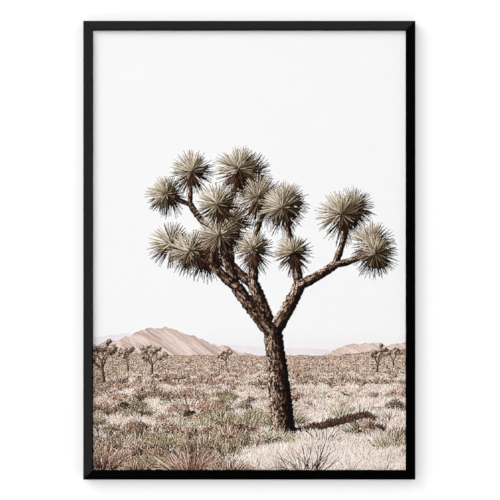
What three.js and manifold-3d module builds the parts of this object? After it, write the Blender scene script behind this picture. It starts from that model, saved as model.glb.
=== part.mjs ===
// A portrait print in a slim black wall frame, hung on a wall.
// Millimetres, +Z up. The wall is the plane y = 0, and the frame stands in front of it, towards -Y.
// The origin lies on the top rail's back face, in the middle of its length and width.
import * as THREE from "three";
import { mergeVertices } from "three/addons/utils/BufferGeometryUtils.js";
import Module from "manifold-3d";

// Driving dimensions
const PRINT = { width: 500, height: 700, thickness: 0.3 };
const EDGE_ROOM = 1; // between the print's edge and the rebate's wall
const RAIL = {
  face: 15, // seen from the front
  lip: 4, // how far the rail reaches over the rebate
  lipDepth: 6,
  depth: 22,
  slopeDrop: 2.6, // the front face falls away towards the outer edge
  arris: 0.9, // rounding along the front edges
};
const MITRE_GAP = 0.1; // each rail's end stops this far short of the mitre line
const LAY_GAP = 0.1; // between pieces that lie on each other
const SLOT_GAP = 0.3; // all round a fastener in its slot or hole
const GLAZING = { thickness: 2, corner: 1 };
const BOARD = { thickness: 3, corner: 2 };
const TAB = { width: 7, thickness: 0.5, driven: 5, reach: 11, spacing: 125 };
const TABS_ON_SHORT_RAIL = 4;
const TABS_ON_LONG_RAIL = 6;
const CORNER_NAIL = { inset: 4, leg: 6, thickness: 0.8, depth: 8, sunk: 0.2 };
const HANGER = {
  width: 56,
  height: 11,
  corner: 2.5,
  thickness: 1,
  pad: 10, // the flat end that is riveted down
  ramp: 3,
  lift: 2.6, // clear height under the raised middle
  teeth: 7,
  toothPitch: 3.6,
  toothDepth: 2.2,
  inset: 22, // from the rebate's wall to the hanger's middle
};
const RIVET = { shank: 1.6, head: 3, headHeight: 1 };
const ROUND_STEPS = 12;

// Sizes that follow
const WALL = RAIL.face - RAIL.lip;
const OUTER_WIDTH = PRINT.width + 2 * (EDGE_ROOM + WALL);
const OUTER_HEIGHT = PRINT.height + 2 * (EDGE_ROOM + WALL);
const CENTRE_Z = WALL / 2 - OUTER_HEIGHT / 2;
const SHOULDER_Y = -RAIL.depth + RAIL.lipDepth;
const GLAZING_Y = SHOULDER_Y + LAY_GAP;
const PRINT_Y = GLAZING_Y + GLAZING.thickness + LAY_GAP;
const BOARD_Y = PRINT_Y + PRINT.thickness + LAY_GAP;
const BACK_Y = BOARD_Y + BOARD.thickness + LAY_GAP; // what lies on the board's back starts here
const TURN_AXIS = new THREE.Vector3(0, 1, 0);

// Each side of the frame and each hanger is drawn at the top and turned about y to its place.
const SIDES = [
  { name: "top", turn: 0, length: OUTER_WIDTH, reach: OUTER_HEIGHT / 2, tabs: TABS_ON_SHORT_RAIL },
  { name: "right", turn: Math.PI / 2, length: OUTER_HEIGHT, reach: OUTER_WIDTH / 2, tabs: TABS_ON_LONG_RAIL },
  { name: "bottom", turn: Math.PI, length: OUTER_WIDTH, reach: OUTER_HEIGHT / 2, tabs: TABS_ON_SHORT_RAIL },
  { name: "left", turn: -Math.PI / 2, length: OUTER_HEIGHT, reach: OUTER_WIDTH / 2, tabs: TABS_ON_LONG_RAIL },
];
const HANGERS = SIDES.slice(0, 2).map(({ name, turn, reach }) => {
  return { name, turn, middle: reach - WALL - HANGER.inset };
});
const RIVET_PLACES = [-1, 1].map((side) => (side * (HANGER.width - HANGER.pad)) / 2);

const FINISHES = {
  blackLacquer: { color: 0x1d1d1d, roughness: 0.45, metalness: 0 },
  clearAcrylic: { color: 0xf6f8f8, roughness: 0.05, metalness: 0, transparent: true, opacity: 0.15 },
  printedPaper: { color: 0xe4ddd8, roughness: 0.75, metalness: 0 },
  hardboard: { color: 0x6e4d33, roughness: 0.85, metalness: 0 },
  zincSteel: { color: 0x9da0a3, roughness: 0.4, metalness: 1 },
};

const wasm = await Module();
wasm.setup();

function solidOf(geometry) {
  const bare = new THREE.BufferGeometry().setAttribute("position", geometry.getAttribute("position"));
  if (geometry.index) bare.setIndex(geometry.index);
  const merged = mergeVertices(bare, 1e-4);
  const vertProperties = new Float32Array(merged.attributes.position.array);
  const triVerts = new Uint32Array(merged.index.array);
  return new wasm.Manifold(new wasm.Mesh({ numProp: 3, vertProperties, triVerts }));
}

function geometryOf(solid) {
  const mesh = solid.getMesh();
  const geometry = new THREE.BufferGeometry();
  geometry.setAttribute("position", new THREE.BufferAttribute(new Float32Array(mesh.vertProperties), 3));
  geometry.setIndex(new THREE.BufferAttribute(new Uint32Array(mesh.triVerts), 1));
  geometry.computeVertexNormals();
  return geometry;
}

function cutFrom(geometry, cutters) {
  const cut = cutters.reduce((left, cutter) => left.subtract(solidOf(cutter)), solidOf(geometry));
  return geometryOf(cut);
}

function piece(name, geometry, finish) {
  const mesh = new THREE.Mesh(geometry, new THREE.MeshStandardMaterial(FINISHES[finish]));
  mesh.name = name;
  return mesh;
}

// A block between two corners, in the frame of the group it goes into.
function block([x0, y0, z0], [x1, y1, z1]) {
  const geometry = new THREE.BoxGeometry(x1 - x0, y1 - y0, z1 - z0);
  return geometry.translate((x0 + x1) / 2, (y0 + y1) / 2, (z0 + z1) / 2);
}

// An outline drawn in x and z, made thick from y = front backwards.
function slab(outline, front, thickness) {
  const geometry = new THREE.ExtrudeGeometry(outline, {
    depth: thickness,
    bevelEnabled: false,
    curveSegments: ROUND_STEPS,
  });
  return geometry.rotateX(Math.PI / 2).translate(0, front + thickness, 0);
}

// A rectangle with round corners, whose lower edge can run through points of its own.
function roundedOutline({ width, height, corner, lowerEdge = [] }) {
  const [x, z] = [width / 2 - corner, height / 2 - corner];
  const outline = new THREE.Shape();
  outline.moveTo(-x, -height / 2);
  lowerEdge.forEach(([px, pz]) => outline.lineTo(px, pz - height / 2));
  outline.absarc(x, -z, corner, -Math.PI / 2, 0);
  outline.absarc(x, z, corner, 0, Math.PI / 2);
  outline.absarc(-x, z, corner, Math.PI / 2, Math.PI);
  outline.absarc(-x, -z, corner, Math.PI, 1.5 * Math.PI);
  return outline;
}

function roundHole(x, z) {
  return new THREE.Path().absarc(x, z, RIVET.shank + SLOT_GAP, 0, 2 * Math.PI, true);
}

// The moulding's section: x runs inwards from the outer edge, and y is the depth.
function mouldingSection() {
  const r = RAIL.arris;
  const front = -RAIL.depth;
  const outer = front + RAIL.slopeDrop;
  const section = new THREE.Shape();
  section.moveTo(0, 0);
  section.lineTo(0, outer + r);
  section.quadraticCurveTo(0, outer, r, outer - (RAIL.slopeDrop * r) / RAIL.face);
  section.lineTo(RAIL.face - r, front + (RAIL.slopeDrop * r) / RAIL.face);
  section.quadraticCurveTo(RAIL.face, front, RAIL.face, front + r);
  section.lineTo(RAIL.face, SHOULDER_Y);
  section.lineTo(WALL, SHOULDER_Y);
  section.lineTo(WALL, 0);
  section.closePath();
  return section;
}

// One rail along x with its outer edge at z = reach, and both ends cut back along the mitres.
function railBlank(length, reach) {
  const geometry = new THREE.ExtrudeGeometry(mouldingSection(), {
    depth: length,
    bevelEnabled: false,
    curveSegments: 4,
  });
  const position = geometry.getAttribute("position");
  for (let i = 0; i < position.count; i++) {
    const inwards = position.getX(i);
    const side = Math.sign(position.getZ(i) - length / 2);
    const along = side * (length / 2 - inwards - MITRE_GAP);
    position.setXYZ(i, along, position.getY(i), reach - inwards);
  }
  return geometry;
}

// An angled nail across the mitre at one end of a rail, or its slot when grown by a gap.
function cornerNail({ length, reach }, end, growth) {
  const { inset, leg, thickness, depth, sunk } = CORNER_NAIL;
  const [x, z] = [length / 2 - inset, reach - inset];
  const half = thickness / 2 + growth;
  const corners = [
    [x + half, z + half],
    [x - leg - growth, z + half],
    [x - leg - growth, z - half],
    [x - half, z - half],
    [x - half, z - leg - growth],
    [x + half, z - leg - growth],
  ];
  const outline = new THREE.Shape(corners.map(([px, pz]) => new THREE.Vector2(end * px, pz)));
  return slab(outline, -depth - growth, depth + growth - (growth > 0 ? -1 : sunk));
}

function tabPlaces({ tabs }) {
  return Array.from({ length: tabs }, (_, i) => (i - (tabs - 1) / 2) * TAB.spacing);
}

// A flat steel tab with a round tip, driven into the rebate's wall and lying over the board.
function tabBlade(x, reach) {
  const half = TAB.width / 2;
  const wall = reach - WALL;
  const tip = wall - TAB.reach + half;
  const outline = new THREE.Shape();
  outline.moveTo(x + half, wall + TAB.driven);
  outline.lineTo(x - half, wall + TAB.driven);
  outline.absarc(x, tip, half, Math.PI, 2 * Math.PI);
  outline.closePath();
  return slab(outline, BACK_Y, TAB.thickness);
}

function tabSlot(x, reach) {
  const half = TAB.width / 2 + SLOT_GAP;
  const wall = reach - WALL;
  return block(
    [x - half, BACK_Y - SLOT_GAP, wall - 1],
    [x + half, BACK_Y + TAB.thickness + SLOT_GAP, wall + TAB.driven + SLOT_GAP],
  );
}

// One side of the frame: its rail, the tabs in it and the nail across the mitre at its right end.
function frameSide(side) {
  const group = new THREE.Group();
  const places = tabPlaces(side);
  const slots = places.map((x) => tabSlot(x, side.reach));
  const nailSlots = [-1, 1].map((end) => cornerNail(side, end, SLOT_GAP));
  const rail = cutFrom(railBlank(side.length, side.reach), [...slots, ...nailSlots]);
  group.add(piece(`rail_${side.name}`, rail, "blackLacquer"));
  places.forEach((x, i) => {
    group.add(piece(`tab_${side.name}_${i + 1}`, tabBlade(x, side.reach), "zincSteel"));
  });
  group.add(piece(`corner_nail_${side.name}`, cornerNail(side, 1, 0), "zincSteel"));
  group.rotation.y = side.turn;
  return group;
}

function glazing() {
  const outline = roundedOutline({ ...PRINT, corner: GLAZING.corner });
  return piece("glazing", slab(outline, GLAZING_Y, GLAZING.thickness), "clearAcrylic");
}

function printSheet() {
  const { width, height, thickness } = PRINT;
  const [x, z] = [width / 2, height / 2];
  return piece("print_sheet", block([-x, PRINT_Y, -z], [x, PRINT_Y + thickness, z]), "printedPaper");
}

function backBoard() {
  const outline = roundedOutline({ ...PRINT, corner: BOARD.corner });
  for (const { turn, middle } of HANGERS) {
    for (const place of RIVET_PLACES) {
      const hole = new THREE.Vector3(place, 0, middle).applyAxisAngle(TURN_AXIS, turn);
      outline.holes.push(roundHole(hole.x, hole.z));
    }
  }
  return piece("back_board", slab(outline, BOARD_Y, BOARD.thickness), "hardboard");
}

// The hanger seen along its height: flat ends on the board and a raised middle.
function hangerProfile() {
  const { width, pad, ramp, lift, thickness } = HANGER;
  const [end, foot] = [width / 2, width / 2 - pad];
  const top = foot - ramp;
  const offset = thickness * Math.tan(Math.atan2(lift, ramp) / 2);
  const half = [
    [top, lift],
    [foot, 0],
    [end, 0],
    [end, thickness],
    [foot + offset, thickness],
    [top + offset, lift + thickness],
  ];
  const mirrored = half.map(([x, y]) => [-x, y]).reverse();
  return new THREE.Shape([...half, ...mirrored].map(([x, y]) => new THREE.Vector2(x, y)));
}

// The hanger seen from behind: round corners, a rivet hole in each end and teeth along the lower edge.
function hangerOutline() {
  const { teeth, toothPitch, toothDepth } = HANGER;
  const lowerEdge = [];
  for (let i = 0; i < teeth; i++) {
    const start = (i - teeth / 2) * toothPitch;
    lowerEdge.push([start, 0], [start + toothPitch / 2, toothDepth], [start + toothPitch, 0]);
  }
  const outline = roundedOutline({ ...HANGER, lowerEdge });
  RIVET_PLACES.forEach((place) => outline.holes.push(roundHole(place, 0)));
  return outline;
}

function hangerPlate() {
  const { height, lift, thickness } = HANGER;
  const bent = new THREE.ExtrudeGeometry(hangerProfile(), { depth: height, bevelEnabled: false });
  bent.translate(0, BACK_Y, -height / 2);
  const punched = slab(hangerOutline(), BACK_Y - 1, lift + thickness + 2);
  return solidOf(bent).intersect(solidOf(punched));
}

// A button-headed rivet through the hanger and the board.
function rivet(x, z) {
  const { shank, head, headHeight } = RIVET;
  const foot = -LAY_GAP - BOARD.thickness;
  const seat = HANGER.thickness + LAY_GAP;
  const profile = [
    [0, foot],
    [shank, foot],
    [shank, seat],
    [head, seat],
    [head, seat + headHeight * 0.35],
    [head * 0.78, seat + headHeight * 0.8],
    [head * 0.4, seat + headHeight],
    [0, seat + headHeight],
  ].map(([radius, height]) => new THREE.Vector2(radius, height));
  return new THREE.LatheGeometry(profile, 2 * ROUND_STEPS).translate(x, BACK_Y, z);
}

function hanger({ name, turn, middle }) {
  const group = new THREE.Group();
  group.add(piece(`hanger_${name}`, geometryOf(hangerPlate()).translate(0, 0, middle), "zincSteel"));
  RIVET_PLACES.forEach((place, i) => {
    group.add(piece(`rivet_${name}_${i + 1}`, rivet(place, middle), "zincSteel"));
  });
  group.rotation.y = turn;
  return group;
}

const framedPrint = new THREE.Group();
framedPrint.add(...SIDES.map(frameSide), glazing(), printSheet(), backBoard(), ...HANGERS.map(hanger));
framedPrint.position.z = CENTRE_Z;

export default framedPrint;
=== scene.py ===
import math

import bmesh
import bpy
import numpy as np
from mathutils import Matrix, Vector


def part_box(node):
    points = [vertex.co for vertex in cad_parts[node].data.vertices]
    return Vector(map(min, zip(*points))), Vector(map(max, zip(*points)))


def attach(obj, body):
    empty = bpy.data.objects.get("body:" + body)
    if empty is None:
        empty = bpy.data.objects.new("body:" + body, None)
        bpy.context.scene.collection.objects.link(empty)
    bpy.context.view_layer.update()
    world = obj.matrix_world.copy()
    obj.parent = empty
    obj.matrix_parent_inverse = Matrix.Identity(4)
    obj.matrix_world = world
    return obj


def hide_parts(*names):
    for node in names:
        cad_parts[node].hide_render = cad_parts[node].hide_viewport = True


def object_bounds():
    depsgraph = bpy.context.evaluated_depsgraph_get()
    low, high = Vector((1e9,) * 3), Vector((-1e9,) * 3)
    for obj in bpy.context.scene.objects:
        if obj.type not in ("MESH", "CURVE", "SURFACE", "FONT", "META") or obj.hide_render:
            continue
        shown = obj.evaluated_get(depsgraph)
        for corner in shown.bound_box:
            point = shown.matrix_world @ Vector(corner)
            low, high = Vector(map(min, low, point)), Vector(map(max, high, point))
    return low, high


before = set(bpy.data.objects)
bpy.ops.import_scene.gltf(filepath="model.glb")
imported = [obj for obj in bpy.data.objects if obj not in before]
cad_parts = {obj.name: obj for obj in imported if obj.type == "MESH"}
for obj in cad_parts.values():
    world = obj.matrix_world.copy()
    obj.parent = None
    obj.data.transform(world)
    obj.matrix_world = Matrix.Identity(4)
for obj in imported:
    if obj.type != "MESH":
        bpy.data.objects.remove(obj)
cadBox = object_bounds()
middle = (cadBox[0] + cadBox[1]) / 2
mm = 0.001


def node(tree, kind, at=(0, 0), **settings):
    made = tree.nodes.new(kind)
    made.location = at
    for name, value in settings.items():
        setattr(made, name, value)
    return made


def fill(made, **values):
    # the values of a node's inputs, by name
    for name, value in values.items():
        made.inputs[name.replace("_", " ")].default_value = value


def newMaterial(name):
    material = bpy.data.materials.new(name)
    material.use_nodes = True
    tree = material.node_tree
    tree.nodes.clear()
    shader = node(tree, "ShaderNodeBsdfPrincipled", (400, 0))
    output = node(tree, "ShaderNodeOutputMaterial", (900, 0))
    tree.links.new(shader.outputs[0], output.inputs["Surface"])
    return material, tree, shader


def clearWhere(tree, share):
    # the material is see-through where share is 1
    shader, output = tree.nodes["Principled BSDF"], tree.nodes["Material Output"]
    clear = node(tree, "ShaderNodeBsdfTransparent", (400, 250))
    mix = node(tree, "ShaderNodeMixShader", (650, 200))
    tree.links.new(share, mix.inputs[0])
    tree.links.new(shader.outputs[0], mix.inputs[1])
    tree.links.new(clear.outputs[0], mix.inputs[2])
    tree.links.new(mix.outputs[0], output.inputs["Surface"])


def newGroup(name, inputs, outputs):
    group = bpy.data.node_groups.new(name, "ShaderNodeTree")
    for socket, kind, value in inputs:
        made = group.interface.new_socket(socket, in_out="INPUT", socket_type=kind)
        made.default_value = value
    for socket, kind in outputs:
        group.interface.new_socket(socket, in_out="OUTPUT", socket_type=kind)
    return group, node(group, "NodeGroupInput", (-900, 0)), node(group, "NodeGroupOutput", (900, 0))


def placed(tree, group, at=(-300, 0), **values):
    made = node(tree, "ShaderNodeGroup", at)
    made.node_tree = group
    fill(made, **values)
    return made


# the picture on the sheet is a generic desert scene, painted stroke by stroke from far to near.
# places on it are millimetres from its lower left corner, and colours are display values from 0 to 1

desert = {
    "seed": 8,
    "dotsPerMm": 2.4,
    "horizon": 184,
    "groundTop": 250,                    # nothing of the far ground reaches higher
    "plantsFrom": 0.012,                 # how far down from the horizon plants begin and end
    "plantsTo": 1.04,
    "sky": (0.968, 0.968, 0.968),
    "hazeRise": 44,                      # how far above the horizon the haze ends
    "haze": (0.738, 0.668, 0.618),       # what far things fade towards
    "hazeReach": 0.38,
    "hazeMost": 0.68,
    "sun": (-0.62, -0.42, 0.66),
    "paler": 0.22,                       # how much more pale grass grows on the right
    "warmth": (0.100, -0.075, -0.150),   # added to the middle tones
    "contrast": 0.55,
    "middle": 0.605,                     # the tone that the contrast leaves alone
}


def tint(*values):
    return np.asarray(values, np.float32) / 255


def mixed(a, b, share):
    share = np.clip(share, 0, 1)[..., None]
    return np.asarray(a, np.float32) * (1 - share) + np.asarray(b, np.float32) * share


def smoothNoise(x, z, seed):
    # one cell to each unit, values from 0 to 1
    grid = np.random.default_rng(seed).random((256, 256)).astype(np.float32)
    i, j = np.floor(x).astype(int), np.floor(z).astype(int)
    u, v = x - i, z - j
    u, v = u * u * (3 - 2 * u), v * v * (3 - 2 * v)
    i0, i1, j0, j1 = i % 256, (i + 1) % 256, j % 256, (j + 1) % 256
    low = grid[j0, i0] * (1 - u) + grid[j0, i1] * u
    high = grid[j1, i0] * (1 - u) + grid[j1, i1] * u
    return low * (1 - v) + high * v


def clouds(x, z, seed, octaves=4):
    shares = [1.7**-k for k in range(octaves)]
    layers = [smoothNoise(x * 2**k, z * 2**k, seed + k) * share for k, share in enumerate(shares)]
    return sum(layers) / sum(shares)


class Picture:
    def __init__(self, width, height):
        self.width, self.dots = width, desert["dotsPerMm"]
        self.rows, self.columns = round(height * self.dots), round(width * self.dots)
        self.ink = np.empty((self.rows, self.columns, 3), np.float32)
        self.ink[:] = desert["sky"]

    def dab(self, x, z, colour):
        # opaque dots, and where two fall on one place the later one shows
        column, row = (x * self.dots).astype(int).ravel(), (z * self.dots).astype(int).ravel()
        on = (column >= 0) & (column < self.columns) & (row >= 0) & (row < self.rows)
        self.ink[row[on], column[on]] = colour.reshape(-1, 3)[on]

    def strokes(self, x, z, angle, length, width, bend, root, tip, rng, taper=1.0, side=0.5, vary=0.08):
        # tapering strokes, one for each value of x. angle is from upright, towards the right.
        # side is how much of the shade runs across a stroke, and the rest runs along it
        n = len(x)
        along = max(3, int(np.max(length) * self.dots * 1.15))
        across = max(1, math.ceil(np.max(width) * self.dots * 1.1))
        t = np.linspace(0, 1, along, dtype=np.float32)[None, :, None]
        u = np.linspace(-1, 1, across, dtype=np.float32) if across > 1 else np.zeros(1, np.float32)
        x, z, angle, length, width, bend = (
            np.broadcast_to(np.asarray(values, np.float32), (n,))[:, None, None]
            for values in (x, z, angle, length, width, bend)
        )
        heading, halfway = angle + bend * t, angle + bend * t / 2
        half = width / 2 * (1 - t) ** taper
        px = x + length * t * np.sin(halfway) + u * half * np.cos(heading)
        pz = z + length * t * np.cos(halfway) - u * half * np.sin(heading)
        lit = (1 - side) * t + side * (0.5 - 0.5 * u * np.cos(heading) - 0.25 * np.sin(heading)) + 0 * px
        lit = np.clip(lit, 0, 1)[..., None]
        root, tip = (
            np.broadcast_to(np.asarray(colour, np.float32), (n, 3))[:, None, None, :]
            for colour in (root, tip)
        )
        shift = 1 + rng.normal(0, vary, (n, 1, 1, 1)).astype(np.float32)
        self.dab(px, pz, np.clip((root * (1 - lit) + tip * lit) * shift, 0, 1))


# the hills, furthest first: their skyline, how ragged it is, and their light and dark colours
hills = [
    {"line": [(0, 212), (60, 219), (120, 211), (190, 203), (260, 198), (330, 194), (500, 192)],
     "ragged": 6, "light": tint(222, 222, 227), "dark": tint(208, 208, 215), "grain": 16, "contrast": 1.5},
    {"line": [(0, 199), (40, 207), (82, 225), (108, 229), (150, 217), (190, 203), (225, 193),
              (260, 184), (500, 160)],
     "ragged": 9, "light": tint(218, 205, 200), "dark": tint(176, 160, 154), "grain": 7, "contrast": 1.9},
    {"line": [(0, 160), (340, 176), (376, 187), (402, 200), (440, 204), (470, 200), (500, 204)],
     "ragged": 5, "light": tint(219, 207, 202), "dark": tint(190, 174, 169), "grain": 6, "contrast": 2.0},
    {"line": [(0, 187), (50, 189), (120, 184), (260, 178), (380, 183), (430, 189), (500, 194)],
     "ragged": 5, "light": tint(196, 176, 166), "dark": tint(150, 128, 119), "grain": 2.4, "contrast": 2.2},
]
plain = {
    "far": tint(186, 163, 151),
    "near": tint(206, 190, 176),
    "dark": tint(112, 90, 80),
    "light": tint(236, 226, 215),
    "haze": tint(224, 221, 223),
}


def slope(x, width):
    # a little above 0 on the right and below it on the left
    return (x / width - 0.5) * desert["paler"]


def paintGround(picture):
    rows = round(desert["groundTop"] * picture.dots)
    z, x = (np.indices((rows, picture.columns), dtype=np.float32) + 0.5) / picture.dots
    ground, horizon = picture.ink[:rows], desert["horizon"]
    rise = np.clip((z - horizon) / desert["hazeRise"], 0, 1)
    ground[:] = mixed(plain["haze"], desert["sky"], rise * (2 - rise))
    for k, hill in enumerate(hills):
        top = np.interp(x[:1], *zip(*hill["line"]))
        top = top + (clouds(x[:1] / 9 + 7, 0 * x[:1], 60 + k, 5) - 0.5) * hill["ragged"]
        slanted, below = (x + (z - horizon) * 1.3) / hill["grain"], (z - top) / hill["grain"] * 0.5
        face = clouds(slanted, below + k * 9, 80 + k, 5)
        shrubs = smoothNoise(x * 0.8, z * 1.1, 90 + k) > 0.86 - 0.09 * k
        lit = 0.55 + (face - 0.5) * hill["contrast"] - shrubs * 0.22 * k
        here = (z < top) & (z > horizon - 14)
        ground[here] = mixed(hill["dark"], hill["light"], lit[here])
    depth = np.clip((horizon - z) / horizon, 0.004, 1)
    patch = clouds((x - picture.width / 2) / depth / 80 + 40, 7 / depth, 11) + slope(x, picture.width)
    fine = (smoothNoise(x * 0.9, z * 1.5, 12) + smoothNoise(x * 2.1, z * 2.4, 13)) / 2
    tone = (patch - 0.5) * 1.6 + (fine - 0.5) * 1.4
    base = mixed(plain["far"], plain["near"], depth * 1.4)
    lighter, darker = mixed(base, plain["light"], tone * 0.9), mixed(base, plain["dark"], -tone * 0.9)
    here = z < horizon + (clouds(x[:1] / 14, 0 * x[:1], 14) - 0.5) * 3
    ground[here] = np.where(tone[..., None] > 0, lighter, darker)[here]


# what grows on the plain: its share among the plants far off and near by, the height and stroke width
# of one in the foreground, how far its strokes fan out, and how much strokes and plants vary in tone.
# likes is above 0 where a kind keeps to the pale ground
plants = {
    "scrub": {"share": (1.20, 0.20), "likes": -1.3, "height": 42, "fan": 1.5, "thick": 0.72,
              "root": tint(74, 57, 50), "tip": tint(200, 175, 161), "vary": 0.24, "tone": 0.20},
    "sage": {"share": (0.70, 0.24), "likes": -0.3, "height": 40, "fan": 1.35, "thick": 0.85,
             "root": tint(76, 72, 56), "tip": tint(194, 190, 162), "vary": 0.18, "tone": 0.12},
    "grass": {"share": (0.95, 3.8), "likes": 0.7, "height": 29, "fan": 1.05, "thick": 0.68,
              "root": tint(156, 132, 119), "tip": tint(250, 240, 230), "vary": 0.12, "tone": 0.08},
    "bush": {"share": (0.70, 0.50), "likes": -0.9, "height": 34, "leaf": 1.15,
             "root": tint(42, 31, 28), "tip": tint(204, 184, 167), "vary": 0.12, "tone": 0.14},
    "twigs": {"share": (0.10, 0.42), "likes": -0.5, "height": 44, "fan": 1.25, "thick": 0.95, "few": 0.10,
              "root": tint(48, 35, 32), "tip": tint(150, 122, 109), "vary": 0.25, "tone": 0.15},
}
shade = {"width": 66, "height": 8, "thick": 1.3, "colour": tint(62, 47, 43)}
finest = 0.42   # one dot of the picture, the narrowest stroke


def scattered(count, near, far, likes, width, rng):
    # even on level ground, so crowding towards the horizon, and thinned where a kind dislikes the ground
    power = -0.9
    depth = np.sort((far**power + rng.random(count) * (near**power - far**power)) ** (1 / power))
    x = rng.uniform(-12, width + 12, count)
    pale = clouds((x - width / 2) / depth / 90 + 31, 1.5 / depth + 5, 21, 3) + slope(x, width)
    kept = rng.random(count) < np.clip(0.5 + (pale - 0.5) * likes * 4, 0.04, 1)
    return x[kept], desert["horizon"] * (1 - depth[kept]), depth[kept]


def veiled(colour, veil):
    return colour * (1 - veil) + np.asarray(desert["haze"], np.float32) * veil


def hazy(colour, depth):
    return veiled(colour, np.clip(1 - depth / desert["hazeReach"], 0, desert["hazeMost"])[:, None] * 0.85)


def repeated(times, *values):
    return (np.repeat(value, times) for value in values)


def paintTufts(picture, kind, x, z, depth, rng):
    blades = int(8 + 260 * kind.get("few", 1) * depth[-1] ** 1.2)
    n = len(x) * blades
    size = kind["height"] * depth * rng.uniform(0.5, 1.25, len(x))
    x, z, depth, size = repeated(blades, x, z, depth, size)
    off = rng.normal(0, 0.28, n)
    pick = np.repeat(rng.normal(0, kind["tone"], n // blades), blades)[:, None]
    picture.strokes(
        x + off * size * kind["fan"],
        z + rng.normal(0, 0.06, n) * size,
        off * 1.5 * kind["fan"] + rng.normal(0, 0.3, n),
        size * rng.uniform(0.4, 1.05, n) * (1 - 0.35 * np.abs(off)),
        np.maximum(finest, kind["thick"] * depth),
        rng.normal(0, 0.35, n) + np.sign(off) * 0.25,
        hazy(kind["root"] * (1 + pick), depth),
        hazy(kind["tip"] * (1 + 0.6 * pick), depth),
        rng, taper=0.7, side=0.35, vary=kind["vary"],
    )


def paintBushes(picture, kind, x, z, depth, rng):
    # domes of small leaves, lit from the upper left
    leaves = int(16 + 1500 * depth[-1] ** 1.6)
    n = len(x) * leaves
    size = kind["height"] * depth * rng.uniform(0.5, 1.2, len(x))
    x, z, depth, size = repeated(leaves, x, z, depth, size)
    bearing = rng.uniform(-1.6, 1.6, n)
    reach = np.sqrt(rng.random(n)) * (1 + 0.13 * np.sin(bearing * 4 + x)) * rng.normal(1, 0.12, n)
    across, up = np.sin(bearing) * reach, np.abs(np.cos(bearing)) ** 0.6 * reach
    lit = np.clip(0.38 - 0.40 * across + 0.50 * (up - 0.4) + rng.normal(0, 0.26, n), 0, 1)[:, None]
    pick = np.repeat(rng.normal(0, kind["tone"], n // leaves), leaves)[:, None]
    colour = hazy((kind["root"] * (1 - lit) + kind["tip"] * lit) * (1 + pick), depth)
    picture.strokes(
        x + across * size * 0.8,
        z + up * size * 0.8,
        bearing + rng.normal(0, 0.7, n),
        size * 0.09 + 0.3,
        np.maximum(finest, kind["leaf"] * depth),
        0.3,
        colour * 0.8,
        colour * 1.1,
        rng, side=0.4, vary=kind["vary"],
    )


def paintShade(picture, x, z, depth, rng):
    # low dark ground between the plants
    dabs = int(14 + 80 * depth[-1])
    n = len(x) * dabs
    x, z, depth = repeated(dabs, x, z, depth)
    colour = hazy(shade["colour"] * (1 + rng.normal(0, 0.12, (n, 1))), depth)
    picture.strokes(
        x + rng.normal(0.15, 0.33, n) * depth * shade["width"],
        z + rng.normal(0, 0.35, n) * depth * shade["height"],
        rng.normal(1.45, 0.35, n),
        depth * shade["width"] * 0.14,
        np.maximum(finest, shade["thick"] * depth),
        0.2,
        colour,
        colour * 1.25,
        rng, vary=0.14,
    )


def paintPlants(picture, near, far, bands, rng):
    edges = np.geomspace(near, far, bands + 1)
    for low, high in zip(edges[:-1], edges[1:]):
        density = 36 / (0.16 + high)
        x, z, depth = scattered(int(density * 1.1) + 1, high, low, -0.9, picture.width, rng)
        if len(x):
            paintShade(picture, x, z, depth, rng)
        for name in rng.permutation(list(plants)):
            kind = plants[name]
            count = int(density * np.interp(high, (0, 1), kind["share"])) + 1
            x, z, depth = scattered(count, high, low, kind["likes"], picture.width, rng)
            if len(x):
                (paintBushes if name == "bush" else paintTufts)(picture, kind, x, z, depth, rng)


bigTree = {
    "seed": 4,
    "foot": (304, 44),
    "lean": -0.06,
    "trunk": 176,
    "radius": 20,
    "limb": 92,
    "forks": (3, 2, 2, 2),
    "spread": (44, 40, 36, 34),
    "shorter": 0.8,
    "slimmer": 0.8,
    "stops": 0.18,      # the chance that a slim limb ends early
    "leaf": 35,
    "leafWidth": 2.0,
    "leaves": 230,
    "deadLeaves": 90,
    "bark": (tint(48, 38, 33), tint(222, 206, 190)),
    "green": (tint(52, 48, 38), tint(226, 222, 203)),
    "dead": (tint(66, 52, 45), tint(206, 186, 168)),
    "veil": 0,
}
# small trees far off: place across the sheet, depth from the horizon (0) to the sheet's lower edge (1), seed
farTrees = [(58, 0.15, 2), (96, 0.20, 6), (214, 0.12, 5), (452, 0.17, 3), (478, 0.11, 1), (20, 0.28, 5)]
farLook = {"size": 0.62, "leaves": 60, "deadLeaves": 24, "veil": 0.45}
castShadow = {"strokes": 2600, "from": (4, 12), "across": 128, "up": 34, "ragged": (5, 2.6)}


def turned(direction, tilt, roll):
    # the direction that leaves a given one by tilt, towards roll round it
    side = np.cross(direction, (0, 1, 0.01))
    side /= np.linalg.norm(side)
    other = np.cross(direction, side)
    return direction * math.cos(tilt) + (side * math.cos(roll) + other * math.sin(roll)) * math.sin(tilt)


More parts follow.
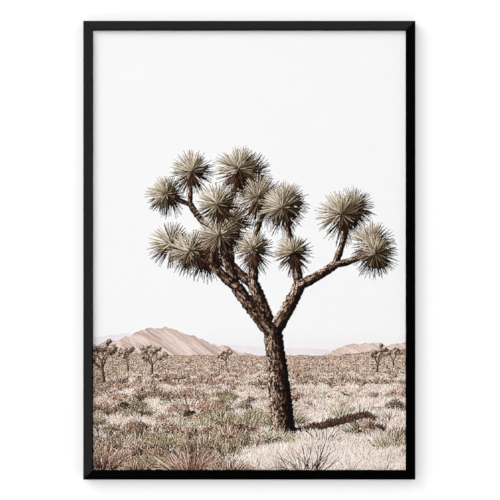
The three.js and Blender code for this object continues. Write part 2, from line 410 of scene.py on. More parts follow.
def growTree(t, rng):
    # limbs as (path, radius at each end, level) and leaf heads as (place, direction), in x, depth and z
    limbs, heads = [], []

    def grow(start, way, length, radius, level):
        drift = way + (rng.normal(0, 0.12), rng.normal(0, 0.12), 0.28 if level else 0.05)
        drift /= np.linalg.norm(drift)
        step = np.linspace(0, 1, 12)[:, None]
        path = start + length * (way * (step - step**2 / 2) + drift * step**2 / 2)
        thin = radius * (0.86 if level else 0.72)
        limbs.append((path, radius, thin, level))
        if level == len(t["forks"]):
            heads.append((path[-1], drift))
            return
        first = rng.uniform(0, math.pi)
        for i in range(t["forks"][level]):
            if level >= 2 and rng.random() < t["stops"]:
                heads.append((path[-1], drift))
                continue
            roll = first + 2 * math.pi * i / t["forks"][level] + rng.normal(0, 0.35)
            new = turned(drift, math.radians(t["spread"][level] * rng.uniform(0.65, 1.15)), roll)
            new = np.array((new[0], new[1] * 0.75, max(new[2], 0.12)))
            shorter = (t["shorter"] if level else t["limb"] / t["trunk"]) * rng.uniform(0.8, 1.15)
            grow(path[-1], new / np.linalg.norm(new), length * shorter, thin * t["slimmer"], level + 1)

    foot = np.array((t["foot"][0], 0.0, t["foot"][1]))
    grow(foot, np.array((t["lean"], 0, 1.0)), t["trunk"], t["radius"], 0)
    return limbs, heads


def paintLimb(picture, limb, t):
    # a ribbon shaded as a round one, with ragged plates of bark
    path, thick, thin, level = limb
    along = np.linspace(0, 1, max(8, int(np.linalg.norm(path[-1] - path[0]) * picture.dots * 1.5)))
    steps = np.linspace(0, 1, len(path))
    x, z = (np.interp(along, steps, path[:, k]) for k in (0, 2))
    dx, dz = np.gradient(x), np.gradient(z)
    size = np.hypot(dx, dz) + 1e-6
    x, z, nx, nz, run = (a[:, None] for a in (x, z, dz / size, -dx / size, np.cumsum(size)))
    u = np.linspace(-1, 1, max(3, int(thick * 3 * picture.dots)))[None, :]
    radius = np.interp(along, (0, 1), (thick, thin))[:, None]
    if level == 0:
        radius = radius * (1 + 0.35 * np.exp(-9 * along[:, None]))
    scale = t["radius"] / bigTree["radius"]
    girth = np.arcsin(u) * radius / scale
    run = run / scale + 0 * u
    plate = clouds(girth / 2.6 + 50 + level * 7, run / 5.5 + 20, 31)
    crack = np.abs(clouds(girth / 3.4 + 11, run / 8 + 3, 35, 3) - 0.5) * 2
    ragged = 1 + (clouds(run / 3, np.sign(u) * 3 + 9 + 0 * run, 37, 3) - 0.5) * 0.3
    facing = -u * (nx * 0.80 - nz * 0.55) + 0.42 * np.sqrt(1 - u * u)
    lit = np.clip(facing * 0.78 + 0.12 + (plate - 0.5), 0, 1) * np.clip(crack * 3.4, 0.12, 1)
    dark, light = (veiled(colour, t["veil"]) for colour in t["bark"])
    picture.dab(x + nx * u * radius * ragged, z + nz * u * radius * ragged, mixed(dark, light, lit))


def paintLeaves(picture, place, ways, length, width, colours, gain, t, rng):
    # straight stiff leaves, as long as they look from the front, furthest first
    order = np.argsort(-ways[:, 1], kind="stable")
    ways, length, gain = ways[order], length[order], gain[order]
    sun = np.asarray(desert["sun"]) / np.linalg.norm(desert["sun"])
    lit = (np.clip(0.42 + 0.55 * (ways @ sun) + rng.normal(0, 0.14, len(ways)), 0, 1) * gain)[:, None]
    dark, light = (veiled(colour, t["veil"]) for colour in colours)
    seen = np.maximum(np.hypot(ways[:, 0], ways[:, 2]), 0.25)
    picture.strokes(
        place[0] + ways[:, 0] * 0.09 * t["leaf"],
        place[2] + ways[:, 2] * 0.09 * t["leaf"],
        np.arctan2(ways[:, 0], ways[:, 2]),
        length * seen,
        max(finest, width),
        rng.normal(0, 0.1, len(ways)),
        dark + (light - dark) * lit * 0.35,
        dark + (light - dark) * np.clip(lit * 1.15, 0, 1),
        rng, taper=0.85, side=0.28, vary=0.07,
    )


def paintHead(picture, head, t, rng):
    # a skirt of dead leaves with a ball of green ones over it
    place, way = head
    way = way / np.linalg.norm(way)
    size = t["leaf"] * rng.uniform(0.82, 1.15)

    def fan(count, low, high, droop):
        polar = np.arccos(rng.uniform(math.cos(math.radians(high)), math.cos(math.radians(low)), count))
        rolls = rng.uniform(0, 2 * math.pi, count)
        return np.array([turned(way, a, b) for a, b in zip(polar, rolls)]) - (0, 0, droop), polar

    ways, polar = fan(t["deadLeaves"], 95, 160, 0.35)
    length = size * rng.uniform(0.5, 0.9, len(ways))
    dim = np.full(len(ways), 0.75)
    heart = place - way * 0.4 * size
    paintLeaves(picture, heart, ways, length, t["leafWidth"] * 0.75, t["dead"], dim, t, rng)
    ways, polar = fan(t["leaves"], 0, 112, 0.1)
    length = size * rng.uniform(0.7, 1.08, len(ways))
    bright = 1.05 - 0.11 * polar
    heart = place - way * 0.23 * size
    paintLeaves(picture, heart, ways, length, t["leafWidth"], t["green"], bright, t, rng)


def paintTree(picture, t):
    rng = np.random.default_rng(t["seed"])
    limbs, heads = growTree(t, rng)
    # the trunk counts as further off than the limbs, and the limbs as further than the heads at their ends
    parts = [(limb[0][:, 1].mean() + (40 if limb[3] else 200), paintLimb, (limb, t)) for limb in limbs]
    parts += [(head[0][1], paintHead, (head, t, rng)) for head in heads]
    for distance, paint, details in sorted(parts, key=lambda part: -part[0]):
        paint(picture, *details)


def paintCastShadow(picture, t, rng):
    # the trunk's shadow on the grass, away from the sun
    n, (x, z) = castShadow["strokes"], np.add(t["foot"], castShadow["from"])
    along = rng.random(n) ** 0.8
    picture.strokes(
        x + along * castShadow["across"] + rng.normal(0, castShadow["ragged"][0], n),
        z + along * castShadow["up"] + rng.normal(0, castShadow["ragged"][1], n),
        rng.normal(0.1, 0.5, n),
        rng.uniform(3, 9, n) * (1 - 0.6 * along),
        0.6,
        rng.normal(0, 0.4, n),
        tint(62, 49, 43),
        tint(136, 116, 104),
        rng, taper=0.7, side=0.3, vary=0.16,
    )


def graded(ink):
    # warmer and with more contrast, but the pale sky stays as it is
    tone = ink.mean(axis=2, keepdims=True)
    room = np.clip((desert["sky"][0] - tone) * 12, 0, 1)
    middles = 4 * tone * (1 - tone)
    warmth = np.asarray(desert["warmth"], np.float32) / 4
    return ink + room * middles * ((tone - desert["middle"]) * desert["contrast"] + warmth)


def paintPicture(width, height):
    rng = np.random.default_rng(desert["seed"])
    picture = Picture(width, height)
    paintGround(picture)
    near = desert["plantsFrom"]
    # each stretch of the plain, then the tree that stands at its near edge
    for x, depth, seed in sorted(farTrees, key=lambda tree: tree[1]):
        paintPlants(picture, near, depth, max(2, round(30 * math.log(depth / near) / 4.5)), rng)
        sizes = ("trunk", "radius", "limb", "leaf", "leafWidth")
        far = {**bigTree, **farLook, **{k: bigTree[k] * depth * farLook["size"] for k in sizes}}
        far["seed"], far["foot"] = seed, (x, desert["horizon"] * (1 - depth))
        far["veil"] = farLook["veil"] - depth
        paintTree(picture, far)
        near = depth
    footDepth = 1 - bigTree["foot"][1] / desert["horizon"]
    paintPlants(picture, near, footDepth, 8, rng)
    paintCastShadow(picture, bigTree, rng)
    paintTree(picture, bigTree)
    paintPlants(picture, footDepth, desert["plantsTo"], 4, rng)
    picture.ink = graded(picture.ink)
    print("picture painted")
    return picture


finerGrain = 3.1   # the number of fine grains beside one coarse one


def makeGrainGroup():
    # long fibres or brush marks: fine noise, drawn out along one direction
    group, source, target = newGroup(
        "fibreGrain",
        [("Direction Scale", "NodeSocketVector", (1, 1, 1)), ("Size", "NodeSocketFloat", 400.0),
         ("Detail", "NodeSocketFloat", 4.0), ("Contrast", "NodeSocketFloat", 1.0)],
        [("Value", "NodeSocketFloat"), ("Fine", "NodeSocketFloat")],
    )
    place = node(group, "ShaderNodeTexCoord", (-900, -200))
    stretch = node(group, "ShaderNodeVectorMath", (-680, 0), operation="MULTIPLY")
    coarse = node(group, "ShaderNodeTexNoise", (-440, 100))
    fine = node(group, "ShaderNodeTexNoise", (-440, -200))
    finer = node(group, "ShaderNodeMath", (-680, -260), operation="MULTIPLY")
    finer.inputs[1].default_value = finerGrain
    centre = node(group, "ShaderNodeMath", (-200, 100), operation="SUBTRACT")
    centre.inputs[1].default_value = 0.5
    gain = node(group, "ShaderNodeMath", (0, 100), operation="MULTIPLY_ADD", use_clamp=True)
    gain.inputs[2].default_value = 0.5
    link = group.links.new
    link(place.outputs["Object"], stretch.inputs[0])
    link(source.outputs["Direction Scale"], stretch.inputs[1])
    link(source.outputs["Size"], finer.inputs[0])
    for noise, size in ((coarse, source.outputs["Size"]), (fine, finer.outputs[0])):
        link(stretch.outputs[0], noise.inputs["Vector"])
        link(size, noise.inputs["Scale"])
        link(source.outputs["Detail"], noise.inputs["Detail"])
    link(coarse.outputs[0], centre.inputs[0])
    link(centre.outputs[0], gain.inputs[0])
    link(source.outputs["Contrast"], gain.inputs[1])
    link(gain.outputs[0], target.inputs["Value"])
    link(fine.outputs[0], target.inputs["Fine"])
    return group


fibreGrain = makeGrainGroup()


def spread(tree, value, low, high, at=(-100, 0)):
    # a value from 0 to 1 spread between two others
    made = node(tree, "ShaderNodeMapRange", at)
    fill(made, To_Min=low, To_Max=high)
    tree.links.new(value, made.inputs["Value"])
    return made.outputs["Result"]


def colourMix(tree, share, first, second, at=(0, 200)):
    # first and second are colours or the outputs of other nodes
    made = node(tree, "ShaderNodeMix", at, data_type="RGBA")
    tree.links.new(share, made.inputs[0])
    ends = [socket for socket in made.inputs if socket.type == "RGBA"]
    for socket, colour in zip(ends, (first, second)):
        if isinstance(colour, bpy.types.NodeSocket):
            tree.links.new(colour, socket)
        else:
            socket.default_value = (*colour, 1)
    return next(socket for socket in made.outputs if socket.type == "RGBA")


def bumped(tree, shader, height, distance, strength=1.0, at=(150, -300), under=None):
    made = node(tree, "ShaderNodeBump", at)
    fill(made, Distance=distance, Strength=strength)
    tree.links.new(height, made.inputs["Height"])
    if under:
        tree.links.new(under, made.inputs["Normal"])
    tree.links.new(made.outputs[0], shader.inputs["Normal"])
    return made.outputs[0]


lacquer = {
    "dark": (0.0, 0.0, 0.0),
    "light": (0.0005, 0.0005, 0.0005),
    "roughness": (0.27, 0.33),
    "specular": 0.5,
    "grainSize": 1000.0,
    "grainDepth": 0.00004,
    "grainContrast": 1.6,
    "alongGrain": 0.035,
    "mattRoughness": 0.8,
    "mattSpecular": 0.02,
}


def makeLacquer(name, along):
    # satin black over open-grained wood: the grain runs along the rail and just shows in the sheen
    material, tree, shader = newMaterial(name)
    stretch = tuple(lacquer["alongGrain"] if axis == along else 1.0 for axis in "XYZ")
    grain = placed(
        tree, fibreGrain, (-600, 0), Direction_Scale=stretch, Size=lacquer["grainSize"],
        Contrast=lacquer["grainContrast"],
    )
    black = colourMix(tree, grain.outputs["Value"], lacquer["dark"], lacquer["light"])
    tree.links.new(black, shader.inputs["Base Color"])
    tree.links.new(spread(tree, grain.outputs["Fine"], *lacquer["roughness"]), shader.inputs["Roughness"])
    fill(shader, Specular_IOR_Level=lacquer["specular"])
    bumped(tree, shader, grain.outputs["Value"], lacquer["grainDepth"])
    return material


def makeMattBlack():
    material, tree, shader = newMaterial("mattBlackLip")
    fill(shader, Base_Color=(*lacquer["light"], 1))
    fill(shader, Roughness=lacquer["mattRoughness"], Specular_IOR_Level=lacquer["mattSpecular"])
    return material


acrylic = {"colour": (0.995, 0.995, 0.995), "roughness": 0.02, "ior": 1.49}


def makeAcrylic():
    # clear to the camera, and light shines straight through it to the print
    material, tree, shader = newMaterial("clearAcrylic")
    fill(shader, Base_Color=(*acrylic["colour"], 1), Roughness=acrylic["roughness"], IOR=acrylic["ior"])
    fill(shader, Transmission_Weight=1.0)
    rays = node(tree, "ShaderNodeLightPath", (100, 350))
    either = node(tree, "ShaderNodeMath", (400, 450), operation="MAXIMUM")
    tree.links.new(rays.outputs["Is Shadow Ray"], either.inputs[0])
    tree.links.new(rays.outputs["Is Diffuse Ray"], either.inputs[1])
    clearWhere(tree, either.outputs[0])
    return material


paper = {
    "white": 0.86,
    "plainDark": (0.80, 0.79, 0.77),
    "plainLight": (0.86, 0.85, 0.83),
    "roughness": (0.72, 0.84),
    "specular": 0.1,
    "fibre": 900.0,
    "inkedContrast": 1.4,
    "plainContrast": 1.2,
    "fibreDepth": 0.0000003,
    "grain": (0.997, 1.003),
}


def finishPaper(tree, shader, grain):
    tree.links.new(spread(tree, grain.outputs["Fine"], *paper["roughness"]), shader.inputs["Roughness"])
    bumped(tree, shader, grain.outputs["Fine"], paper["fibreDepth"])


def makePicturePaper():
    # the inks come from the piece's own colours, and the paper's grain just shows through them
    material, tree, shader = newMaterial("picturePaper")
    ink = node(tree, "ShaderNodeAttribute", (-900, 250), attribute_name="ink")
    contrast = paper["inkedContrast"]
    grain = placed(tree, fibreGrain, (-900, -50), Size=paper["fibre"], Detail=2.0, Contrast=contrast)
    grained = node(tree, "ShaderNodeVectorMath", (-300, 200), operation="SCALE")
    tree.links.new(ink.outputs["Color"], grained.inputs[0])
    tree.links.new(spread(tree, grain.outputs["Value"], *paper["grain"]), grained.inputs["Scale"])
    tree.links.new(grained.outputs[0], shader.inputs["Base Color"])
    fill(shader, Specular_IOR_Level=paper["specular"])
    finishPaper(tree, shader, grain)
    return material


def makePlainPaper():
    material, tree, shader = newMaterial("plainPaper")
    grain = placed(tree, fibreGrain, (-600, 0), Size=paper["fibre"], Contrast=paper["plainContrast"])
    white = colourMix(tree, grain.outputs["Value"], paper["plainDark"], paper["plainLight"])
    tree.links.new(white, shader.inputs["Base Color"])
    finishPaper(tree, shader, grain)
    return material


hardboard = {
    "dark": (0.125, 0.066, 0.036),
    "light": (0.255, 0.148, 0.085),
    "fleck": (0.37, 0.25, 0.16),
    "fleckFrom": 0.66,
    "fibre": 620.0,
    "fibreDepth": 0.00008,
    "fibreStrength": 0.6,
    "contrast": 1.5,
    "blotch": 9.0,
    "blotchMost": 0.22,
    "roughness": (0.62, 0.85),
    "screenPitch": 0.0016,
    "screenDepth": 0.00009,
    "screenStrength": 0.7,
    "screenWobble": 0.4,
}


def makeHardboard():
    # pressed brown fibres, with the print of the wire screen that the sheet was pressed on
    material, tree, shader = newMaterial("pressedHardboard")
    contrast = hardboard["contrast"]
    grain = placed(tree, fibreGrain, (-900, 200), Size=hardboard["fibre"], Detail=8.0, Contrast=contrast)
    blotch = placed(tree, fibreGrain, (-900, -100), Size=hardboard["blotch"], Detail=3.0, Contrast=1.0)
    fibres = colourMix(tree, grain.outputs["Value"], hardboard["dark"], hardboard["light"], (-500, 300))
    flecks = node(tree, "ShaderNodeMath", (-500, 0), operation="GREATER_THAN")
    flecks.inputs[1].default_value = hardboard["fleckFrom"]
    tree.links.new(grain.outputs["Fine"], flecks.inputs[0])
    flecked = colourMix(tree, flecks.outputs[0], fibres, hardboard["fleck"], (-250, 300))
    cloudy = spread(tree, blotch.outputs["Value"], 0.0, hardboard["blotchMost"], (-500, -150))
    brown = colourMix(tree, cloudy, flecked, hardboard["dark"], (0, 300))
    tree.links.new(brown, shader.inputs["Base Color"])
    tree.links.new(spread(tree, grain.outputs["Fine"], *hardboard["roughness"]), shader.inputs["Roughness"])
    place = node(tree, "ShaderNodeTexCoord", (-900, -400))
    screen = node(tree, "ShaderNodeMath", (-400, -450), operation="MAXIMUM")
    for k, direction in enumerate("XZ"):
        at = (-650, -400 - 220 * k)
        wires = node(tree, "ShaderNodeTexWave", at, wave_type="BANDS", bands_direction=direction)
        fill(wires, Scale=math.pi / (10 * hardboard["screenPitch"]), Distortion=hardboard["screenWobble"])
        tree.links.new(place.outputs["Object"], wires.inputs["Vector"])
        tree.links.new(wires.outputs["Fac"], screen.inputs[k])
    depth, strength = hardboard["screenDepth"], hardboard["screenStrength"]
    pressed = bumped(tree, shader, screen.outputs[0], depth, strength)
    depth, strength = hardboard["fibreDepth"], hardboard["fibreStrength"]
    bumped(tree, shader, grain.outputs["Value"], depth, strength, (300, -450), pressed)
    return material


zinc = {
    "dark": (0.42, 0.43, 0.45),
    "light": (0.66, 0.665, 0.66),
    "roughness": (0.44, 0.26),     # of the dark and of the light
    "spangle": 260.0,
    "brush": 900.0,
    "brushContrast": 1.2,
    "brushDepth": 0.000012,
    "alongBrush": 0.12,
}


def makeZinc(name, along):
    # zinc crystals under brush marks, half of each
    material, tree, shader = newMaterial(name)
    stretch = tuple(zinc["alongBrush"] if axis == along else 1.0 for axis in "XYZ")
    brush = placed(
        tree, fibreGrain, (-900, 0), Direction_Scale=stretch, Size=zinc["brush"],
        Contrast=zinc["brushContrast"],
    )
    place = node(tree, "ShaderNodeTexCoord", (-1100, -300))
    spangle = node(tree, "ShaderNodeTexVoronoi", (-900, -300))
    fill(spangle, Scale=zinc["spangle"])
    tone = node(tree, "ShaderNodeSeparateColor", (-700, -300))
    half = node(tree, "ShaderNodeMath", (-700, 0), operation="MULTIPLY")
    blend = node(tree, "ShaderNodeMath", (-450, -100), operation="MULTIPLY_ADD", use_clamp=True)
    half.inputs[1].default_value = blend.inputs[1].default_value = 0.5
    tree.links.new(place.outputs["Object"], spangle.inputs["Vector"])
    tree.links.new(spangle.outputs["Color"], tone.inputs[0])
    tree.links.new(brush.outputs["Value"], half.inputs[0])
    tree.links.new(tone.outputs[0], blend.inputs[0])
    tree.links.new(half.outputs[0], blend.inputs[2])
    metal = colourMix(tree, blend.outputs[0], zinc["dark"], zinc["light"])
    tree.links.new(metal, shader.inputs["Base Color"])
    tree.links.new(spread(tree, blend.outputs[0], *zinc["roughness"]), shader.inputs["Roughness"])
    fill(shader, Metallic=1.0)
    bumped(tree, shader, brush.outputs["Fine"], zinc["brushDepth"])
    return material


# the width of the rounding on the edges of each kind of solid, in millimetres
rounding = {"rail": 0.22, "back": 0.35, "hanger": 0.22, "rivet": 0.12, "tab": 0.12, "corner": 0.15}
solids = {"mergeWithin": 0.000005, "flatWithin": 1, "sharpFrom": 35, "segments": 2}   # metres and degrees


def refined(nodeName, material):
    # a copy of the frame's own solid, with its loose triangles merged and fine round edges
    words = nodeName.split("_")
    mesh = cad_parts[nodeName].data.copy()
    bm = bmesh.new()
    bm.from_mesh(mesh)
    bmesh.ops.remove_doubles(bm, verts=bm.verts, dist=solids["mergeWithin"])
    flat, sharp = math.radians(solids["flatWithin"]), math.radians(solids["sharpFrom"])
    bmesh.ops.dissolve_limit(bm, angle_limit=flat, verts=bm.verts, edges=bm.edges)
    edges = [e for e in bm.edges if e.is_manifold and e.calc_face_angle(0) > sharp]
    rounded = bmesh.ops.bevel(
        bm, geom=edges, offset=rounding[words[0]] * mm, offset_type="OFFSET", segments=solids["segments"],
        profile=0.5, affect="EDGES", clamp_overlap=True, material=-1,
    )
    for face in bm.faces:
        face.smooth = False
    for face in rounded["faces"]:
        face.smooth = True
    mesh.clear_geometry()
    bm.to_mesh(mesh)
    bm.free()
    mesh.materials.clear()
    mesh.materials.append(material)
    piece = bpy.data.objects.new(words[0] + "".join(word.capitalize() for word in words[1:]), mesh)
    bpy.context.scene.collection.objects.link(piece)
    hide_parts(nodeName)
    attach(piece, "root")
    return piece


lip = {"behind": -0.0155, "facing": 0.8}   # metres, and how squarely a face looks inwards


def mattInside(piece, along, material):
    # the lip's wall next to the print stays matt
    across = 2 if along == "X" else 0
    piece.data.materials.append(material)
    for face in piece.data.polygons:
        turnedIn = face.normal[across] * math.copysign(1, middle[across] - face.center[across])
        if face.center.y < lip["behind"] and turnedIn > lip["facing"]:
            face.material_index = 1


def makeHardPieces():
    lacquers = {"X": makeLacquer("blackLacquerAcross", "X"), "Z": makeLacquer("blackLacquerUpright", "Z")}
    zincs = {"X": makeZinc("zincSteelAcross", "X"), "Z": makeZinc("zincSteelUpright", "Z")}
    matt = makeMattBlack()
    for name in sorted(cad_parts):
        low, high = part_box(name)
        along = "X" if high.x - low.x > high.z - low.z else "Z"
        kind = name.split("_")[0]
        if kind == "rail":
            mattInside(refined(name, lacquers[along]), along, matt)
        elif kind in ("hanger", "rivet", "tab", "corner"):
            refined(name, zincs[along])
    refined("back_board", makeHardboard())
    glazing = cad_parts["glazing"].data.materials
    glazing.clear()
    glazing.append(makeAcrylic())


sheet = {
    "strips": 5,
    "cell": 12.5,         # millimetres
    "cuts": 16,           # through each cell that has detail
    "busy": 0.006,        # a cell with a wider range of light than this has detail
    "sample": 2,          # dots of the picture averaged for one place on the sheet
    "around": 7,          # dots that crispness sets each place off from
    "crispness": 1.45,
    "inkLimits": (0.004, 0.955),
}


def linear(colour):
    # display values to light
    return np.where(colour <= 0.04045, colour / 12.92, ((colour + 0.055) / 1.055) ** 2.4)


def softened(image, width):
    # every dot becomes the mean of the square of dots around it
    for axis in (0, 1):
        rim = [(0, 0)] * 3
        rim[axis] = (width // 2 + 1, width // 2)
        run = np.moveaxis(np.cumsum(np.pad(image, rim, mode="edge"), axis=axis, dtype=float), axis, 0)
        image = np.moveaxis((run[width:] - run[:-width]) / width, 0, axis)
    return image


def makePrintStrip(name, low, high, light, sheetLow, spot, papers):
    # a closed strip of the sheet. Its front is a grid, which is finer where the picture has detail
    width, height = high.x - low.x, high.z - low.z
    cell = sheet["cell"] * mm
    bm = bmesh.new()
    bmesh.ops.create_grid(bm, x_segments=round(width / cell), y_segments=round(height / cell), size=0.5)
    bmesh.ops.scale(bm, verts=bm.verts, vec=(width, height, 1))
    bmesh.ops.rotate(bm, verts=bm.verts, matrix=Matrix.Rotation(math.radians(90), 3, "X"))
    bmesh.ops.translate(bm, verts=bm.verts, vec=((low.x + high.x) / 2, low.y, (low.z + high.z) / 2))
    fine = set()
    for face in bm.faces:
        xs = [v.co.x - sheetLow.x for v in face.verts]
        zs = [v.co.z - sheetLow.z for v in face.verts]
        rows = slice(int(min(zs) * spot + 0.5), int(max(zs) * spot + 0.5))
        columns = slice(int(min(xs) * spot + 0.5), int(max(xs) * spot + 0.5))
        if np.ptp(light[rows, columns], axis=(0, 1)).max() > sheet["busy"]:
            fine.update(face.edges)
    bmesh.ops.subdivide_edges(bm, edges=list(fine), cuts=sheet["cuts"], use_grid_fill=True)
    front = set(bm.faces)
    pulled = bmesh.ops.extrude_edge_only(bm, edges=[e for e in bm.edges if e.is_boundary])["geom"]
    back = [v for v in pulled if isinstance(v, bmesh.types.BMVert)]
    bmesh.ops.translate(bm, verts=back, vec=(0, high.y - low.y, 0))
    bmesh.ops.holes_fill(bm, edges=[e for e in bm.edges if e.is_boundary], sides=0)
    for face in bm.faces:
        face.material_index = 0 if face in front else 1
    bmesh.ops.recalc_face_normals(bm, faces=bm.faces)
    mesh = bpy.data.meshes.new(name)
    bm.to_mesh(mesh)
    bm.free()
    for material in papers:
        mesh.materials.append(material)
    inkPrint(mesh, light, sheetLow, spot)
    piece = bpy.data.objects.new(name, mesh)
    bpy.context.scene.collection.objects.link(piece)
    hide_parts("print_sheet")
    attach(piece, "root")
    print(name, "has", sum(len(f.vertices) - 2 for f in mesh.polygons), "triangles")


def inkPrint(mesh, light, sheetLow, spot):
    # each corner of the mesh takes the colour of the picture at its place
    places = np.empty(len(mesh.vertices) * 3, np.float32)
    mesh.vertices.foreach_get("co", places)
    places = places.reshape(-1, 3)
    column = np.clip((places[:, 0] - sheetLow.x) * spot, 0, light.shape[1] - 1).astype(int)
    row = np.clip((places[:, 2] - sheetLow.z) * spot, 0, light.shape[0] - 1).astype(int)
    colours = np.concatenate([light[row, column], np.ones((len(row), 1))], axis=1).astype(np.float32)
    mesh.attributes.new("ink", "FLOAT_COLOR", "POINT").data.foreach_set("color", colours.ravel())


def makePrintSheet():
    low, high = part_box("print_sheet")
    picture = paintPicture((high.x - low.x) / mm, (high.z - low.z) / mm)
    light = softened(linear(picture.ink), sheet["sample"])
    light = light + sheet["crispness"] * (light - softened(light, sheet["around"]))
    light = np.clip(light, *sheet["inkLimits"]) * paper["white"]
    papers = makePicturePaper(), makePlainPaper()
    step = (high.x - low.x) / sheet["strips"]
    for k in range(sheet["strips"]):
        left = Vector((low.x + k * step, low.y, low.z))
        right = Vector((left.x + step, high.y, high.z))
        makePrintStrip(f"printStrip{k + 1}", left, right, light, low, picture.dots / mm, papers)


# the wall's glow stands in for light, and nearShade is how far its painted shade reaches round the frame
wallPaint = {
    "reach": 9.0, "gap": 0.0003, "white": 0.49, "roughness": 0.9, "glow": (0.09, 0.435), "nearShade": 0.052,
}
paleFloor = {
    "reach": 60.0, "drop": 1.5, "white": 0.32, "roughness": 0.8, "glow": 0.64, "fade": (2.0, 11.0),
}


def stagePlane(name, size, place, turn, material):
    mesh = bpy.data.meshes.new(name)
    bm = bmesh.new()
    bmesh.ops.create_grid(bm, x_segments=1, y_segments=1, size=size)
    bmesh.ops.rotate(bm, verts=bm.verts, matrix=Matrix.Rotation(turn, 3, "X"))
    bmesh.ops.translate(bm, verts=bm.verts, vec=place)
    bm.to_mesh(mesh)
    bm.free()
    mesh.materials.append(material)
    made = bpy.data.objects.new(name, mesh)
    bpy.context.scene.collection.objects.link(made)
    return made


def makeWall():
    # white and glowing, the glow standing in for light; painted shade makes it a little darker close to what
    # hangs on it, and it is not there at all when looked at from behind
    material, tree, shader = newMaterial("wallPaint")
    # painted shade: occlusion by the frame dims the wall's glow close to it, standing in for the frame's
    # shadow
    close = node(tree, "ShaderNodeAmbientOcclusion", (-300, 100), samples=8)
    fill(close, Distance=wallPaint["nearShade"], Color=(1, 1, 1, 1))
    glow = spread(tree, close.outputs["AO"], *wallPaint["glow"])
    tree.links.new(glow, shader.inputs["Emission Strength"])
    fill(shader, Base_Color=(*(wallPaint["white"],) * 3, 1), Emission_Color=(1, 1, 1, 1))
    fill(shader, Roughness=wallPaint["roughness"], Specular_IOR_Level=0.0)
    side = node(tree, "ShaderNodeNewGeometry", (100, 350))
    clearWhere(tree, side.outputs["Backfacing"])
    place = (0, cadBox[1].y + wallPaint["gap"], middle.z)
    wall = stagePlane("wall", wallPaint["reach"], place, math.radians(90), material)
    wall.visible_shadow = wall.visible_diffuse = wall.visible_glossy = False


def makeFloor():
    # pale, and far off no different from the air
    material, tree, shader = newMaterial("paleFloor")
    place = node(tree, "ShaderNodeTexCoord", (-700, 0))
    reach = node(tree, "ShaderNodeVectorMath", (-500, 0), operation="LENGTH")
    tree.links.new(place.outputs["Object"], reach.inputs[0])
    far = node(tree, "ShaderNodeMapRange", (-300, 0), interpolation_type="SMOOTHSTEP")
    fill(far, From_Min=paleFloor["fade"][0], From_Max=paleFloor["fade"][1])
    tree.links.new(reach.outputs["Value"], far.inputs["Value"])
    white = colourMix(tree, far.outputs["Result"], (paleFloor["white"],) * 3, (0.0, 0.0, 0.0), (0, 150))
    tree.links.new(white, shader.inputs["Base Color"])
    glow = spread(tree, far.outputs["Result"], paleFloor["glow"], air["seen"], (0, -150))
    tree.links.new(glow, shader.inputs["Emission Strength"])
    fill(shader, Roughness=paleFloor["roughness"], Specular_IOR_Level=0.0, Emission_Color=(1, 1, 1, 1))
    place = (0, 0, cadBox[0].z - paleFloor["drop"])
    floor = stagePlane("floor", paleFloor["reach"], place, 0, material)
    floor.visible_glossy = floor.visible_diffuse = floor.visible_transmission = False


lamps = {  # the strips only show in the sheen of the left and top rails
    "keyLamp": {"way": (-0.95, -1.0, 0.83), "far": 13.0, "size": (7.8, 7.8), "watts": 1006, "sheen": False},
    "frontLamp": {"way": (-0.10, -1.0, 0.12), "far": 13.0, "size": (6.5, 6.5), "watts": 1075, "sheen": False},
    "backLamp": {"way": (0.42, 1.0, 0.62), "far": 6.0, "size": (3.2, 3.2), "watts": 400, "sheen": False},
    "leftStrip": {"way": (-0.532, -1.0, 0.0), "far": 8.0, "size": (1.4, 8.0), "watts": 41, "sheen": True},
    "topStrip": {"way": (0.0, -1.0, 0.598), "far": 8.0, "size": (8.0, 1.4), "watts": 41, "sheen": True},
}
air = {"seen": 0.9, "ambient": 0.325, "darkAhead": 0.004, "paleBehind": 0.62, "from": -0.40, "to": 0.80}


def makeLamps():
    for name, lamp in lamps.items():
        data = bpy.data.lights.new(name, "AREA")
        data.shape = "RECTANGLE" if lamp["sheen"] else "ELLIPSE"
        data.size, data.size_y = lamp["size"]
        data.energy = lamp["watts"]
        made = bpy.data.objects.new(name, data)
        bpy.context.scene.collection.objects.link(made)
        way = Vector(lamp["way"]).normalized()
        made.location = middle + way * lamp["far"]
        made.rotation_euler = way.to_track_quat("Z", "Y").to_euler()
        made.visible_glossy = lamp["sheen"]
        made.visible_diffuse = not lamp["sheen"]
        made.visible_transmission = False


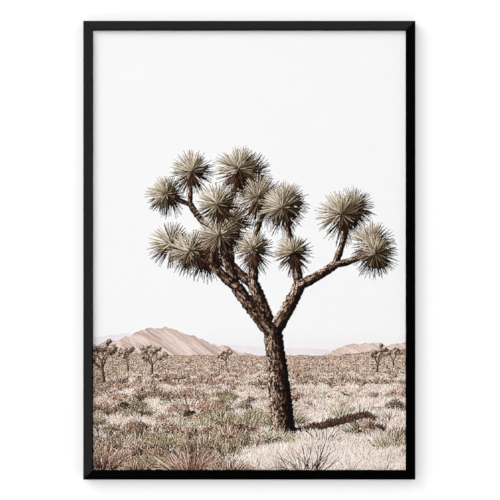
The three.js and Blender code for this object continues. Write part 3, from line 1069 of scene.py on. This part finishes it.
def makeAir():
    # an even pale room, where gloss mirrors a dark cloth ahead of the frame and the pale room behind it
    world = bpy.data.worlds.new("studio")
    world.use_nodes = True
    bpy.context.scene.world = world
    tree = world.node_tree
    background = tree.nodes["Background"]
    fill(background, Color=(1, 1, 1, 1))
    rays = node(tree, "ShaderNodeLightPath", (-900, 300))
    way = node(tree, "ShaderNodeTexCoord", (-1300, 0))
    parts = node(tree, "ShaderNodeSeparateXYZ", (-1100, 0))
    around = node(tree, "ShaderNodeMapRange", (-900, 0), interpolation_type="SMOOTHSTEP")
    fill(around, From_Min=air["from"], From_Max=air["to"])
    fill(around, To_Min=air["darkAhead"], To_Max=air["paleBehind"])
    gloss = node(tree, "ShaderNodeMapRange", (-600, 100))
    fill(gloss, To_Min=air["ambient"])
    seen = node(tree, "ShaderNodeMapRange", (-300, 200))
    fill(seen, To_Max=air["seen"])
    link = tree.links.new
    link(way.outputs["Generated"], parts.inputs[0])
    link(parts.outputs["Y"], around.inputs["Value"])
    link(rays.outputs["Is Glossy Ray"], gloss.inputs["Value"])
    link(around.outputs["Result"], gloss.inputs["To Max"])
    link(rays.outputs["Is Camera Ray"], seen.inputs["Value"])
    link(gloss.outputs["Result"], seen.inputs["To Min"])
    link(seen.outputs["Result"], background.inputs["Strength"])


view = {"lens": 100, "sensor": 36, "acrossMm": 787.8, "sideMm": 1.1, "upMm": 0.4, "furthest": 60}


def makeCamera():
    data = bpy.data.cameras.new("camera")
    data.lens, data.sensor_width, data.clip_end = view["lens"], view["sensor"], view["furthest"]
    camera = bpy.data.objects.new("camera", data)
    bpy.context.scene.collection.objects.link(camera)
    away = view["acrossMm"] * mm * view["lens"] / view["sensor"]
    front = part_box("rail_top")[0].y
    camera.location = (view["sideMm"] * mm, front - away, middle.z + view["upMm"] * mm)
    camera.rotation_euler = (math.radians(90), 0, 0)
    bpy.context.scene.camera = camera


makeCamera()
makeLamps()
makeAir()
makeWall()
makeFloor()
print("stage ready")
makeHardPieces()
print("frame and fittings ready")
makePrintSheet()

bpy.context.scene.view_settings.view_transform = "Standard"
